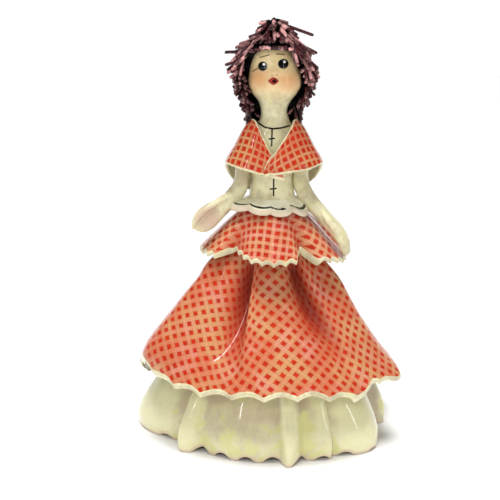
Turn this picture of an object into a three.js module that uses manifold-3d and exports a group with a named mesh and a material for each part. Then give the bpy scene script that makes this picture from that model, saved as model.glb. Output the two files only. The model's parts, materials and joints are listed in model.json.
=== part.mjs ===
// Glazed ceramic girl figurine: slab-built, hollow under its skirts, luted and fired as one piece.
// Millimetres, +Z up, front towards -Y, origin on the table under the middle of its box.
// Angles round the figure are in degrees: 0 is the front, positive is to the viewer's right.
import * as THREE from "three";
import { mergeVertices } from "three/addons/utils/BufferGeometryUtils.js";
import Module from "manifold-3d";

// Driving dimensions
const HEIGHT = 300; // table to the top of the hair
const AXIS = new THREE.Vector3(3.9, 0.6, 0); // the waist's upright axis in the part's frame

const PETTICOAT_WALL = 3.8;
const PETTICOAT_TOP_Z = 137;
const RUFFLE_DEPTH = 14; // crest to valley, at the hem
const RUFFLE_TOP_Z = 92; // where the petticoat's ruffles die out
const PETTICOAT_POINTS = 30; // points along its hem
const ARCH_RISE = 6.5; // hem to table, between the points it stands on
const VALLEY_RISE = 3; // how much higher the points between two ruffles hang
const FOOT_SINK = 4; // cut off the points, so that each stands flat

const SKIRT_WALL = 3.4;
const SKIRT_TOP_Z = 150;
const SKIRT_TOP_RADIUS = 24;
const SKIRT_HEM_Z = 48;
const SKIRT_HEM_RADIUS = 98;
const SKIRT_TURN_IN = 0.3; // how it narrows again where the hem hangs lower than usual
const SKIRT_FOLD = 15; // depth of its deepest fold
const SKIRT_TWIST = 9; // degrees its folds drift to the right on the way down
const SKIRT_POINTS = 26;
const SKIRT_SCALLOP = 3; // height of its hem between two points
const SKIRT_LIFT = 7; // how much higher its hem is at the two side folds
const WING_ROUNDING = 12; // rounds the crest of a side fold
const SKIRT_CUT = 62; // degrees below level that its cut edge leans in

const PEPLUM_WALL = 2.8;
const PEPLUM_TOP_Z = 167;
const PEPLUM_TOP_RADIUS = 18;
const PEPLUM_HEM_Z = 134.5;
const PEPLUM_HEM_RADIUS = 53;
const PEPLUM_FOLD = 8;
const PEPLUM_POINTS = 40;
const PEPLUM_SCALLOP = 1.8;
const PEPLUM_LIFT = 4; // how much higher its hem is in a fold
const PEPLUM_CUT = 68;

const FRILL_TOP_Z = 173;
const FRILL_ROOT_RADIUS = 14; // inside the torso
const FRILL_RADIUS = 26; // between two lobes
const FRILL_LOBES = 10;
const FRILL_FIRST_GAP = -3; // degrees
const FRILL_LOBE = 3; // how far a lobe stands out
const FRILL_DROOP = 3; // how far its rim hangs between two lobes
const FRILL_SLAB = 4;

const SHAWL_WALL = 2.6;
const SHAWL_FLATNESS = 0.73; // depth of the shawl for its width
const SHAWL_LEAN = 1.4; // how much wider it is on the viewer's right
const SHAWL_SIDE_POWER = 0.8; // under 1 squares its plan, here at the sides and the back
const SHAWL_FRONT_POWER = 0.6;
const SHAWL_LAP = 2.9; // how far the top layer stands off the one under it
const SHAWL_TAPER = 0.8; // its height at its two pointed ends

const NOSE_RADIUS = 2.6;
const NOSE_AT = new THREE.Vector3(0.7, -18, 261);

const CAP_CENTRE = new THREE.Vector3(1, 2, 0); // the hair's own axis, from the waist's
const CAP_SINK = 14; // how far the cap lies inside the head, below the hairline
const STRAND_SIZE = 3.4;
const STRAND_LENGTH = 14;
const STRAND_SEAT = 1.6; // how deep a strand's root is pressed into the cap
const STRAND_TURN = 7; // degrees a strand may sit off its even place in the row

const rad = THREE.MathUtils.degToRad;
const clamp = THREE.MathUtils.clamp;
const lerp = THREE.MathUtils.lerp;

function smooth(x) {
  const c = clamp(x, 0, 1);
  return c * c * (3 - 2 * c);
}

// An angle brought to within half a turn of nothing.
function wrap(angle) {
  return angle - 360 * Math.round(angle / 360);
}

// 1 at nothing, easing to 0 at `left` below it and at `right` above it.
function hump(x, left, right) {
  return smooth(1 - (x < 0 ? -x / left : x / right));
}

// 1 at nothing, falling to 0 at the same places but with a narrow crest and hollow flanks.
function wing(x, left, right) {
  const off = Math.sqrt(x * x + WING_ROUNDING) - Math.sqrt(WING_ROUNDING);
  return clamp(1 - off / (x < 0 ? left : right), 0, 1) ** 2;
}

// The strongest of some humps at an angle.
function strongest(humps, angle) {
  const sizes = humps.map((h) => h.size * hump(wrap(angle - h.at), h.left, h.right));
  return Math.max(0, ...sizes);
}

// A run of hem points: 0 at each point, 1 half way to the next.
function arch(angle, count, phase) {
  return Math.abs(Math.sin(rad((count * (angle - phase)) / 2)));
}

// A smooth curve through [x, value] points.
function curve(points, x) {
  const last = points.length - 1;
  let k = 0;
  while (k < last - 1 && x > points[k + 1][0]) k++;
  const slope = (i) => {
    const [a, b] = [points[Math.max(i - 1, 0)], points[Math.min(i + 1, last)]];
    return (b[1] - a[1]) / (b[0] - a[0]);
  };
  const [a, b] = [points[k], points[k + 1]];
  const span = b[0] - a[0];
  const u = clamp((x - a[0]) / span, 0, 1);
  const v = 1 - u;
  return (
    v * v * (1 + 2 * u) * a[1] +
    u * u * (1 + 2 * v) * b[1] +
    u * v * span * (v * slope(k) - u * slope(k + 1))
  );
}

// A point at a radius and angle about the figure's upright axis.
function around(radius, angle, z) {
  return new THREE.Vector3(radius * Math.sin(rad(angle)), -radius * Math.cos(rad(angle)), z);
}

function steps(count, from, to) {
  return Array.from({ length: count }, (_, i) => lerp(from, to, i / (count - 1)));
}

function fullTurn(count) {
  return Array.from({ length: count }, (_, i) => (360 * i) / count);
}

// The same, with the angles closer together in front, where the folds are finest.
const FRONT_CROWDING = 18; // degrees
function crowdedTurn(count) {
  return fullTurn(count).map((angle) => angle - FRONT_CROWDING * Math.sin(rad(angle)));
}

// Triangles between rows of points. Each row is a closed loop; the rows close up as well
// unless the surface is capped at its first and last row.
function gridMesh(rows, capped = false) {
  const n = rows[0].length;
  const index = [];
  for (let r = 0; r < rows.length - (capped ? 1 : 0); r++)
    for (let c = 0; c < n; c++) {
      const [r1, c1] = [(r + 1) % rows.length, (c + 1) % n];
      const [a, b, d, e] = [r * n + c, r * n + c1, r1 * n + c, r1 * n + c1];
      index.push(a, d, b, b, d, e);
    }
  const end = (rows.length - 1) * n;
  for (let c = 1; capped && c < n - 1; c++) {
    index.push(0, c, c + 1);
    index.push(end, end + c + 1, end + c);
  }
  const geometry = new THREE.BufferGeometry();
  const position = rows.flat().flatMap((p) => [p.x, p.y, p.z]);
  geometry.setAttribute("position", new THREE.Float32BufferAttribute(position, 3));
  geometry.setIndex(index);
  return geometry;
}

const wasm = await Module();
wasm.setup();

// A closed mesh as a solid, turned right way out.
function solid(geometry) {
  const bare = new THREE.BufferGeometry();
  bare.setAttribute("position", geometry.getAttribute("position"));
  bare.setIndex(geometry.getIndex());
  const merged = mergeVertices(bare, 1e-4);
  const vertProperties = merged.attributes.position.array;
  const triVerts = new Uint32Array(merged.index.array);
  const made = new wasm.Manifold(new wasm.Mesh({ numProp: 3, vertProperties, triVerts }));
  if (made.volume() > 0) return made;
  triVerts.reverse();
  return new wasm.Manifold(new wasm.Mesh({ numProp: 3, vertProperties, triVerts }));
}

// A slab bent round the figure. `shape` gives its outer face. The inner face lies one wall
// further in, and the cut edge between them leans in at `cut` degrees below level.
function slab(angles, outerRows, innerRows, shape, wall, cut) {
  const nudge = 0.5;
  const inner = (angle, t) => {
    const p = shape(angle, t);
    const round = shape(angle + nudge, t).sub(shape(angle - nudge, t));
    const down = shape(angle, t + 0.01).sub(shape(angle, t - 0.01));
    const normal = round.cross(down).normalize();
    const inward = around(-Math.cos(rad(cut)), angle, -Math.sin(rad(cut)));
    const facing = Math.max(Math.abs(normal.dot(inward)), 0.5);
    return p.addScaledVector(inward, wall / facing);
  };
  const rows = [
    ...outerRows.map((t) => angles.map((a) => shape(a, t))),
    ...innerRows.map((t) => angles.map((a) => inner(a, t))),
  ];
  return solid(gridMesh(rows));
}

// Petticoat: ruffles stand out at `at`, and fall away over `left` and `right` degrees.
const RUFFLES = [
  { at: -80, left: 20, right: 42, size: 1.75 },
  { at: -44, left: 7, right: 15, size: 1.2 },
  { at: -15, left: 60, right: 60, size: 0.6 },
  { at: 7, left: 6, right: 13, size: 1.08 },
  { at: 27, left: 24, right: 7, size: 0.82 },
  { at: 48, left: 32, right: 26, size: 1.36 },
  { at: 80, left: 10, right: 15, size: 0.7 },
  { at: 119, left: 18, right: 14, size: 1.1 },
  { at: 150, left: 13, right: 20, size: 1 },
  { at: 186, left: 18, right: 12, size: 1.1 },
  { at: 211, left: 12, right: 20, size: 1 },
  { at: 246, left: 15, right: 13, size: 1 },
];
const PETTICOAT_VALLEY = [
  [0, 78],
  [12, 79],
  [30, 74],
  [50, 66],
  [83, 47],
  [100, 35],
  [120, 24],
  [PETTICOAT_TOP_Z, 17],
];
const PETTICOAT_FIRST_POINT = 6; // degrees
function petticoatShape(angle, up) {
  const ridge = strongest(RUFFLES, angle);
  const rise = ARCH_RISE * arch(angle, PETTICOAT_POINTS, PETTICOAT_FIRST_POINT);
  const hem = Math.max(rise + VALLEY_RISE * (1 - ridge) - FOOT_SINK, 0);
  const z = lerp(hem, PETTICOAT_TOP_Z, up);
  const flare = RUFFLE_DEPTH * (1 - smooth(z / RUFFLE_TOP_Z));
  return around(curve(PETTICOAT_VALLEY, z) + flare * ridge, angle, z);
}
function petticoat() {
  return slab(fullTurn(90), [0, 0.12, 0.34, 0.7, 1], [1, 0.25, 0], petticoatShape, PETTICOAT_WALL, 0);
}

// Skirt: folds sink in at `at`, measured at the waist.
const SKIRT_CREASES = [
  { at: -27, left: 26, right: 9, size: 0.9 },
  { at: 31, left: 28, right: 8, size: 1 },
  { at: 76, left: 12, right: 12, size: 0.85 },
  { at: 112, left: 22, right: 12, size: 0.8 },
  { at: 154, left: 12, right: 30, size: 0.9 },
  { at: 204, left: 30, right: 12, size: 0.8 },
  { at: 246, left: 14, right: 26, size: 0.8 },
];
const SKIRT_HEM_DIPS = [
  { at: -100, left: 44, right: 26, size: 20 },
  { at: -34, left: 20, right: 30, size: 2 },
  { at: 41, left: 30, right: 9, size: 6 },
  { at: 62, left: 11, right: 8, size: 5 },
  { at: 105, left: 40, right: 38, size: 8 },
];
const SKIRT_HEM_LIFTS = [
  { at: -67, left: 14, right: 16, size: 1 },
  { at: 78, left: 13, right: 22, size: 1 },
];
const SKIRT_FIRST_POINT = -3.5;

// Two big folds stand out at the sides, and the skirt is hollow behind the right one. The table
// gives how far each of the three reaches out at a height.
const WINGS = [
  { at: -66, left: 52, right: 38 },
  { at: 66, left: 36, right: 22 },
  { at: 100, left: 34, right: 50 },
];
const WING_REACH = [
  [40, 2, 5, -7],
  [52, 8, 6, -9],
  [62, 15, 3.5, -12],
  [71, 17.5, 3, -13],
  [90, 15.5, 4, -12],
  [103, 14, 6, -9],
  [115, 12, 7.5, -6],
  [127, 12, 5, -4],
  [138, 4, 1, 0],
  [145, 0, 0, 0],
];
function wings(angle, z) {
  return WINGS.reduce((sum, { at, left, right }, k) => {
    const reach = curve(WING_REACH.map((row) => [row[0], row[k + 1]]), z);
    return sum + reach * wing(wrap(angle - at), left, right);
  }, 0);
}
function skirtShape(angle, down) {
  const turned = angle + SKIRT_TWIST * down;
  const scallop = SKIRT_SCALLOP * (1 + arch(turned, SKIRT_POINTS, SKIRT_FIRST_POINT));
  const lift = SKIRT_LIFT * strongest(SKIRT_HEM_LIFTS, turned);
  const hem = SKIRT_HEM_Z + scallop - strongest(SKIRT_HEM_DIPS, turned) + lift;
  const z = lerp(SKIRT_TOP_Z, hem, down);
  const fallen = (SKIRT_TOP_Z - z) / (SKIRT_TOP_Z - SKIRT_HEM_Z);
  const spread = fallen < 1 ? fallen ** 1.09 : 1 - SKIRT_TURN_IN * (fallen - 1);
  const full = lerp(SKIRT_TOP_RADIUS, SKIRT_HEM_RADIUS, spread) + wings(turned, z);
  // A fold is deepest a third of the way down, and has nearly opened out again at the hem.
  const depth = SKIRT_FOLD * smooth(fallen / 0.36) * (1 - 0.85 * smooth((fallen - 0.45) / 0.5));
  return around(full - depth * strongest(SKIRT_CREASES, angle), turned, z);
}
function skirt() {
  const rows = [0.02, 0.2, 0.38, 0.62, 1];
  return slab(crowdedTurn(90), rows, [0.995, 0.4, 0.04], skirtShape, SKIRT_WALL, SKIRT_CUT);
}

// Peplum: a short overskirt with three round folds in front.
const PEPLUM_CREASES = [
  { at: -43, left: 10, right: 32, size: 1 },
  { at: 31, left: 13, right: 7, size: 1.1 },
  { at: 84, left: 16, right: 14, size: 0.5 },
  { at: 138, left: 20, right: 16, size: 0.8 },
  { at: 196, left: 16, right: 20, size: 0.8 },
  { at: 250, left: 18, right: 16, size: 0.7 },
];
const PEPLUM_LOBES = [
  { at: -75, left: 34, right: 28, size: 2 },
  { at: 3, left: 18, right: 16, size: 5 },
  { at: 40, left: 5, right: 36, size: 5 },
  { at: 90, left: 40, right: 40, size: 1.5 },
];
const PEPLUM_HEM_DIPS = [{ at: 72, left: 36, right: 50, size: 5 }];
const PEPLUM_FIRST_POINT = 1;
function peplumShape(angle, down) {
  const crease = strongest(PEPLUM_CREASES, angle);
  const scallop = PEPLUM_SCALLOP * arch(angle, PEPLUM_POINTS, PEPLUM_FIRST_POINT);
  const dip = strongest(PEPLUM_HEM_DIPS, angle);
  const hem = PEPLUM_HEM_Z + scallop + PEPLUM_LIFT * crease - dip;
  const z = lerp(PEPLUM_TOP_Z, hem, down);
  const fallen = (PEPLUM_TOP_Z - z) / (PEPLUM_TOP_Z - PEPLUM_HEM_Z);
  const lobe = strongest(PEPLUM_LOBES, angle) * Math.sqrt(fallen);
  const full = lerp(PEPLUM_TOP_RADIUS, PEPLUM_HEM_RADIUS, fallen ** 0.92) + lobe;
  return around(full - PEPLUM_FOLD * smooth(fallen) * crease, angle, z);
}
function peplum() {
  return slab(crowdedTurn(78), [0.05, 0.5, 1], [0.99, 0.05], peplumShape, PEPLUM_WALL, PEPLUM_CUT);
}

// Waist frill: a thick collar of round lobes that droops from the foot of the torso.
const FRILL_SPREAD = [
  { at: -66, left: 30, right: 40, size: 5 },
  { at: 50, left: 22, right: 34, size: 2.2 },
];
const FRILL_EXTRA_DROOP = [
  { at: 10, left: 60, right: 60, size: 2.5 },
  { at: 50, left: 24, right: 30, size: 3.8 },
];
function frillRow(reach, z) {
  return fullTurn(55).map((angle) => {
    const lobe = Math.sqrt(arch(angle, FRILL_LOBES, FRILL_FIRST_GAP));
    const rim = FRILL_RADIUS + FRILL_LOBE * lobe + strongest(FRILL_SPREAD, angle);
    const droop = FRILL_DROOP + 2 * lobe + strongest(FRILL_EXTRA_DROOP, angle);
    return around(lerp(FRILL_ROOT_RADIUS, rim, reach), angle, z - droop * reach ** 1.5);
  });
}
function frill() {
  const under = FRILL_TOP_Z - FRILL_SLAB;
  const rows = [
    frillRow(0, FRILL_TOP_Z),
    frillRow(1, FRILL_TOP_Z),
    frillRow(0.98, under),
    frillRow(0, under),
  ];
  return solid(gridMesh(rows));
}

// Shawl: it starts under the overlap in front, goes round the back and ends on top of it.
// Its place on that way is the turn in degrees.
const SHAWL_START = 9;
const SHAWL_END = -365.3;
const SHAWL_WIDTH = [
  [160, 41],
  [182, 39.5],
  [196, 36.9],
  [203, 33.8],
  [210, 29.4],
  [217.5, 25.5],
  [224, 21.7],
  [229, 17.4],
  [233, 12.6],
];
const SHAWL_NECK = [
  [-9, 190],
  [-5.3, 197],
  [-3.5, 201],
  [-0.7, 205.3],
  [2, 208.5],
  [5, 212],
  [11, 217],
  [26, 225],
  [50, 229.5],
  [95, 230],
  [180, 230],
];
const SHAWL_HEM = [
  [-9, 189],
  [0, 191],
  [31, 195.6],
  [75, 198.5],
  [100, 195],
  [134, 181],
  [180, 166],
];
function shawlShape(turn, down) {
  const over = smooth((-turn - 300) / 40); // 1 on the layer that lies on top
  const side = turn < -180 ? 360 + turn : -turn; // degrees back from the front, on either side
  const hem = curve(SHAWL_HEM, side) + 2 * over * hump(side, 20, 40);
  const neck = Math.max(curve(SHAWL_NECK, side), hem + SHAWL_TAPER);
  const z = lerp(neck, hem, down);
  const p = around(1, turn, z);
  const wide = curve(SHAWL_WIDTH, z) + SHAWL_LAP * over + SHAWL_LEAN * Math.sign(p.x);
  const power = p.y < 0 ? SHAWL_FRONT_POWER : SHAWL_SIDE_POWER;
  const x = wide * Math.sign(p.x) * Math.abs(p.x) ** SHAWL_SIDE_POWER;
  const y = SHAWL_FLATNESS * wide * Math.sign(p.y) * Math.abs(p.y) ** power;
  return p.set(x, y, z);
}
function shawl() {
  const rings = steps(42, SHAWL_START, SHAWL_END).map((turn) => {
    const outer = [0, 0.4, 1].map((t) => shawlShape(turn, t));
    const inward = around(-SHAWL_WALL, turn, -0.6);
    const inner = [1, 0.45, 0].map((t) => shawlShape(turn, t).add(inward));
    return [...outer, ...inner];
  });
  return solid(gridMesh(rings, true));
}

// The body from inside the skirt to the crown: height, half-width and half-depth, then how far
// its middle lies to the right and to the back of the axis.
const BODY = [
  [131, 20, 20, 0, 0],
  [148, 25, 25, 0, 0],
  [160, 21.5, 21, 0, 0],
  [172, 17.6, 16.4, 0, 0],
  [181, 15.8, 14.2, 0, 0],
  [194, 15.4, 13.4, 0, 0],
  [208, 18, 14.5, 0, 0],
  [218, 18.5, 13.5, 0.5, 0],
  [224, 14.2, 12, 1, 0],
  [229, 11, 10.6, 1.4, 0],
  [236, 9.6, 9.8, 1.1, -0.5],
  [242, 11.8, 11.6, 1.3, -1.6],
  [247.5, 15.9, 15.2, 1.4, -2.2],
  [253, 18.8, 17.8, 1.5, -1.8],
  [260, 18.8, 18.4, 1.3, -1],
  [267, 17.2, 18, 0.9, 0],
  [275, 14.8, 17, 0.3, 1],
  [284, 11, 13, 0, 2],
  [290, 5, 6, 0, 2],
];
function body() {
  const rings = BODY.map(([z, wide, deep, right, back]) =>
    fullTurn(18).map((angle) => {
      const p = around(1, angle, z);
      return p.set(right + p.x * wide, back + p.y * deep, z);
    }),
  );
  return solid(gridMesh(rings, true));
}

function nose() {
  const ball = new THREE.SphereGeometry(NOSE_RADIUS, 7, 5);
  ball.scale(1, 0.9, 0.9);
  ball.translate(NOSE_AT.x, NOSE_AT.y, NOSE_AT.z);
  return solid(ball);
}

// A limb through [x, y, z, half-width, half-depth] stations; its width lies across `facing`.
function limb(stations, facing) {
  const at = stations.map(([x, y, z]) => new THREE.Vector3(x, y, z));
  const last = at.length - 1;
  const rings = stations.map(([, , , wide, deep], i) => {
    const way = at[Math.min(i + 1, last)].clone().sub(at[Math.max(i - 1, 0)]).normalize();
    const side = new THREE.Vector3().crossVectors(way, facing).normalize();
    const front = new THREE.Vector3().crossVectors(side, way);
    return fullTurn(8).map((a) =>
      at[i]
        .clone()
        .addScaledVector(side, wide * Math.cos(rad(a)))
        .addScaledVector(front, deep * Math.sin(rad(a))),
    );
  });
  return solid(gridMesh(rings, true));
}

// Arms by the viewer's side: the left palm is held to the front, the right hand lies on the peplum.
const LEFT_ARM = [
  [-13, 0, 220, 5, 6],
  [-19.5, 0, 209, 5.8, 6],
  [-21.4, 0, 195, 5.6, 5.8],
  [-22.6, -2.5, 183, 5.8, 6],
  [-26.6, -5, 175.5, 6.3, 6],
  [-35, -10.5, 167.6, 6.2, 5.2],
  [-43, -14.5, 162.5, 8.2, 4.6],
  [-48.7, -17, 158, 8.8, 4.2],
  [-53, -18.5, 153.6, 6.8, 3.4],
  [-55.4, -19.5, 150.4, 3.6, 2],
];
const LEFT_PALM_FACING = new THREE.Vector3(-0.25, -1, 0.1);
const RIGHT_ARM = [
  [13, 0, 220, 5, 6],
  [19, 0, 209, 5.8, 6],
  [20.8, 0, 195, 5.6, 6],
  [21.2, -2.5, 183, 5.9, 6],
  [26.2, -6.5, 172.6, 6.2, 6],
  [34.4, -12, 163.4, 6, 5.8],
  [40.6, -16.5, 157.2, 6.4, 5.4],
  [46.4, -20.5, 151.6, 7, 5],
  [51, -24, 144.6, 6.6, 4.2],
  [53, -26.5, 137.4, 4.6, 3.2],
  [53.4, -27.2, 133.6, 2, 1.6],
];
const RIGHT_HAND_FACING = new THREE.Vector3(0.75, -0.6, 0.3);

// Hair: a cap of clay, open in front of the face, under short strands of extruded clay.
const FACE_TOP_Z = 278;
const CAP_RADII = [
  [226, 15, 12],
  [236, 17.5, 17],
  [247, 23, 22],
  [258, 26.5, 24.5],
  [268, 27, 25],
  [FACE_TOP_Z - 1, 23.5, 22.5],
  [FACE_TOP_Z + 1.5, 22, 21.5],
  [287, 14.5, 15],
  [HEIGHT, 4, 4],
];
const FACE_HALF_ANGLE = [
  [226, 104],
  [231, 90],
  [236, 68],
  [247, 70],
  [258, 69],
  [268, 63],
  [FACE_TOP_Z - 1, 44],
  [FACE_TOP_Z + 1, 14],
];
function capPoint(angle, z, out) {
  const wide = curve(CAP_RADII.map(([h, w]) => [h, w]), z) + out;
  const deep = curve(CAP_RADII.map(([h, , d]) => [h, d]), z) + out;
  const p = around(1, angle, z);
  return p.set(p.x * wide, p.y * deep, z).add(CAP_CENTRE);
}
function hairCap() {
  const rings = CAP_RADII.map(([z]) => {
    const face = curve(FACE_HALF_ANGLE, z);
    const sunk = z < FACE_TOP_Z ? -CAP_SINK : 0;
    const front = steps(3, 1 - face, face - 1).map((angle) => capPoint(angle, z, sunk));
    const back = steps(17, face + 1, 359 - face).map((angle) => capPoint(angle, z, 0));
    return [...front, ...back];
  });
  return solid(gridMesh(rings, true));
}

// One strand, from its root along a direction.
function strand(root, way, length = STRAND_LENGTH) {
  const strip = new THREE.BoxGeometry(STRAND_SIZE, STRAND_SIZE, length);
  strip.translate(0, 0, 0.3 * length);
  const up = new THREE.Vector3(0, 0, 1);
  strip.applyQuaternion(new THREE.Quaternion().setFromUnitVectors(up, way.normalize()));
  strip.translate(root.x, root.y, root.z);
  return solid(strip);
}

// Rows of strands up the cap: height, how many on a full turn, and how far they stand out.
const STRAND_ROWS = [
  [234, 8, 0.5],
  [244, 10, 0.6],
  [254, 10, 0.65],
  [264, 11, 0.7],
  [273.5, 10, 0.8],
  [282, 9, 0.95],
  [289, 6, 1.2],
  [294, 3, 1.8],
];
const STRAY_ROOT = new THREE.Vector3(8, -3, 294); // one long strand sticks out on the right
const STRAY_WAY = new THREE.Vector3(0.9, -0.1, -0.34);
const STRAY_LENGTH = 25;
function hair() {
  const made = [strand(STRAY_ROOT, STRAY_WAY, STRAY_LENGTH)];
  STRAND_ROWS.forEach(([z, count, stand], row) => {
    for (let i = 0; i < count; i++) {
      const unrest = Math.sin(7.3 * row + 4.1 * i); // the same on every build
      const angle = wrap((360 * (i + 0.5 * (row % 2))) / count + STRAND_TURN * unrest);
      if (Math.abs(angle) < curve(FACE_HALF_ANGLE, z) + 5) continue;
      const outward = around(1, angle, 0);
      const way = new THREE.Vector3(0, 0, -1)
        .addScaledVector(outward, stand)
        .addScaledVector(around(1, angle + 90, 0), 0.7 * unrest);
      made.push(strand(capPoint(angle, z, -STRAND_SEAT), way));
    }
  });
  return made;
}

const CLAY = [
  petticoat(),
  skirt(),
  peplum(),
  frill(),
  body(),
  nose(),
  limb(LEFT_ARM, LEFT_PALM_FACING),
  limb(RIGHT_ARM, RIGHT_HAND_FACING),
  shawl(),
  hairCap(),
  ...hair(),
];

function meshOf(name, made, material) {
  const { vertProperties, triVerts } = made.getMesh();
  const geometry = new THREE.BufferGeometry();
  geometry.setAttribute("position", new THREE.BufferAttribute(vertProperties, 3));
  geometry.setIndex(new THREE.BufferAttribute(triVerts, 1));
  const mesh = new THREE.Mesh(geometry.toNonIndexed(), material);
  mesh.geometry.computeVertexNormals();
  mesh.name = name;
  return mesh;
}

const creamGlaze = new THREE.MeshStandardMaterial({ color: 0xe3ddb8, roughness: 0.12 });
const fired = CLAY.reduce((whole, piece) => whole.add(piece));
const figurine = meshOf("girl_figurine", fired, creamGlaze);
figurine.position.copy(AXIS);

const group = new THREE.Group();
group.add(figurine);
export default group;
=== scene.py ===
# %% [markdown]
# # A hand-built ceramic girl in a checked skirt
#
# The figurine is rolled slabs, coils and pressed strands of clay, luted together while wet, then
# painted, glazed and fired as one piece. The frame holds it as one solid. This lesson dresses that
# solid in finer pieces, in the order a potter would build them: petticoat, skirt, peplum, frill,
# body, arms, shawl and hair. Lengths are millimetres of the figurine, counted from the upright axis
# through its waist. Angles are degrees about that axis: 0 is the front, towards -Y, and they grow
# towards the viewer's right.

# %% Load the frame
import json
import math

import bpy
import numpy as np
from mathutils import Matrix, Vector

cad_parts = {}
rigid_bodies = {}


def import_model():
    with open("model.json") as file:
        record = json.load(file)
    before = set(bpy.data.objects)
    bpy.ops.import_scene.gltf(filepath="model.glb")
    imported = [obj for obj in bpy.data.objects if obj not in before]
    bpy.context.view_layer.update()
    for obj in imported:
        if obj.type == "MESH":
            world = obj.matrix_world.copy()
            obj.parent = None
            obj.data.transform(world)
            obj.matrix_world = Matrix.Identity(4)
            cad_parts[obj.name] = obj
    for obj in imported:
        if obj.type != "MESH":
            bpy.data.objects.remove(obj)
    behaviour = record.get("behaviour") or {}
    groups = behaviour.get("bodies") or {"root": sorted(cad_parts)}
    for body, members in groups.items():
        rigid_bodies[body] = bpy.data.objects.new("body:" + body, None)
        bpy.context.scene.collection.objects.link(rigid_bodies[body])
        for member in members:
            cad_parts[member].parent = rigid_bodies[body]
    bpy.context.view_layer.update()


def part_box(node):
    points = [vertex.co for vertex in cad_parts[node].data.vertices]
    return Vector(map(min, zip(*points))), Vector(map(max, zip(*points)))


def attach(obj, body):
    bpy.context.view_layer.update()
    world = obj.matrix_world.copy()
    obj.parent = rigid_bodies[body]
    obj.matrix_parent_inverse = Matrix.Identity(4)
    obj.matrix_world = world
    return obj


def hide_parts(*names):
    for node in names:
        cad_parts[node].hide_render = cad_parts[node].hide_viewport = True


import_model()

FIGURINE = "girl_figurine"
HEIGHT = 300
low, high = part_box(FIGURINE)
MM = (high.z - low.z) / HEIGHT
WAIST = np.array([3.9, 0.6, 0.0])
print(f"one millimetre is {MM:.6f} m; the solid is {HEIGHT} mm tall")

# %% [markdown]
# ## Curves that bend clay
#
# Cloth made of clay has folds that start somewhere, swell and die out. Sculpting them by hand would
# look right but couldn't be repeated, and a cloth simulation would make them thin and random. A few
# small functions are enough: a hump that rises and falls about an angle, the strongest of several
# humps, a row of arches for a scalloped hem, and a smooth curve through a few measured stations.

# %% Functions for folds and profiles
def smooth(x):
    """Eases from 0 to 1 as x goes from 0 to 1."""
    c = np.clip(x, 0, 1)
    return c * c * (3 - 2 * c)


def hump(x, left, right):
    """1 at nothing, easing to 0 at `left` below it and at `right` above it."""
    return smooth(1 - np.where(x < 0, -x / left, x / right))


def centred(angle):
    """The same angle, between -180 and 180."""
    return angle - 360 * np.round(angle / 360)


def strongest(humps, angle):
    """The strongest of some humps (angle, left, right, size) at an angle."""
    sizes = [size * hump(centred(angle - at), left, right) for at, left, right, size in humps]
    return np.max(sizes, axis=0)


def wing(x, left, right, rounding=12):
    """A rounded ridge that stands out from a flat panel: 1 at nothing, 0 past each side."""
    off = np.sqrt(x * x + rounding) - math.sqrt(rounding)
    return np.clip(1 - off / np.where(x < 0, left, right), 0, 1) ** 2


def arch(angle, count, first):
    """A scalloped hem: 0 at each point, 1 half way to the next."""
    return np.abs(np.sin(np.radians(count * (angle - first) / 2)))


def curve(stations, x):
    """A smooth curve through stations of [x, value, ...]."""
    table = np.asarray(stations, float)
    at, value = table[:, 0], table[:, 1:]
    padded = np.pad(table, ((1, 1), (0, 0)), "edge")
    rise = padded[2:] - padded[:-2]
    slope = rise[:, 1:] / rise[:, :1]
    x = np.asarray(x, float)
    k = np.clip(np.searchsorted(at, x) - 1, 0, len(at) - 2)
    span = (at[k + 1] - at[k])[..., None]
    u = np.clip((x - at[k])[..., None] / span, 0, 1)
    v = 1 - u
    bend = u * v * span * (v * slope[k] - u * slope[k + 1])
    out = v * v * (1 + 2 * u) * value[k] + u * u * (1 + 2 * v) * value[k + 1] + bend
    return out[..., 0] if out.shape[-1] == 1 else out


def around(radius, angle, z):
    """Points at a radius and an angle about the figure's axis."""
    a = np.radians(angle)
    return np.stack(np.broadcast_arrays(radius * np.sin(a), -radius * np.cos(a), z), axis=-1)


def full_turn(count, start=0):
    """Evenly spaced angles, all the way round."""
    return start + np.arange(count) * 360 / count


def unit(v):
    """Vectors made one long."""
    return v / np.maximum(np.linalg.norm(v, axis=-1, keepdims=True), 1e-9)


print("fold at its crest, half way and past its end:", hump(np.array([0, 10, 30]), 20, 20))

# %% [markdown]
# ## From a grid of points to a piece
#
# Nearly every piece here is a surface that closes round the figure, so one builder serves them all.
# It takes rows of points, joins them with quads and keeps two kinds of notes for the glazes: marks,
# which are numbers on each point, and the check, a map whose unit is one square of the pattern. The
# map is kept per face corner, because the check doesn't meet itself where a piece closes.

# %% Build a piece from a grid
def add_object(name, data):
    """Puts a mesh, a lamp or a camera into the scene."""
    made = bpy.data.objects.new(name, data)
    bpy.context.scene.collection.objects.link(made)
    return made


def add_mesh(name, points, faces, marks=None):
    """A smooth mesh object from points in millimetres, with a number on each point per mark."""
    mesh = bpy.data.meshes.new(name)
    mesh.from_pydata(((points + WAIST) * MM).reshape(-1, 3).tolist(), [], faces)
    for mark, values in (marks or {}).items():
        attribute = mesh.attributes.new(mark, "FLOAT", "POINT")
        attribute.data.foreach_set("value", np.broadcast_to(values, points.shape[:-1]).ravel())
    mesh.shade_smooth()
    return add_object(name, mesh)


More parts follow.
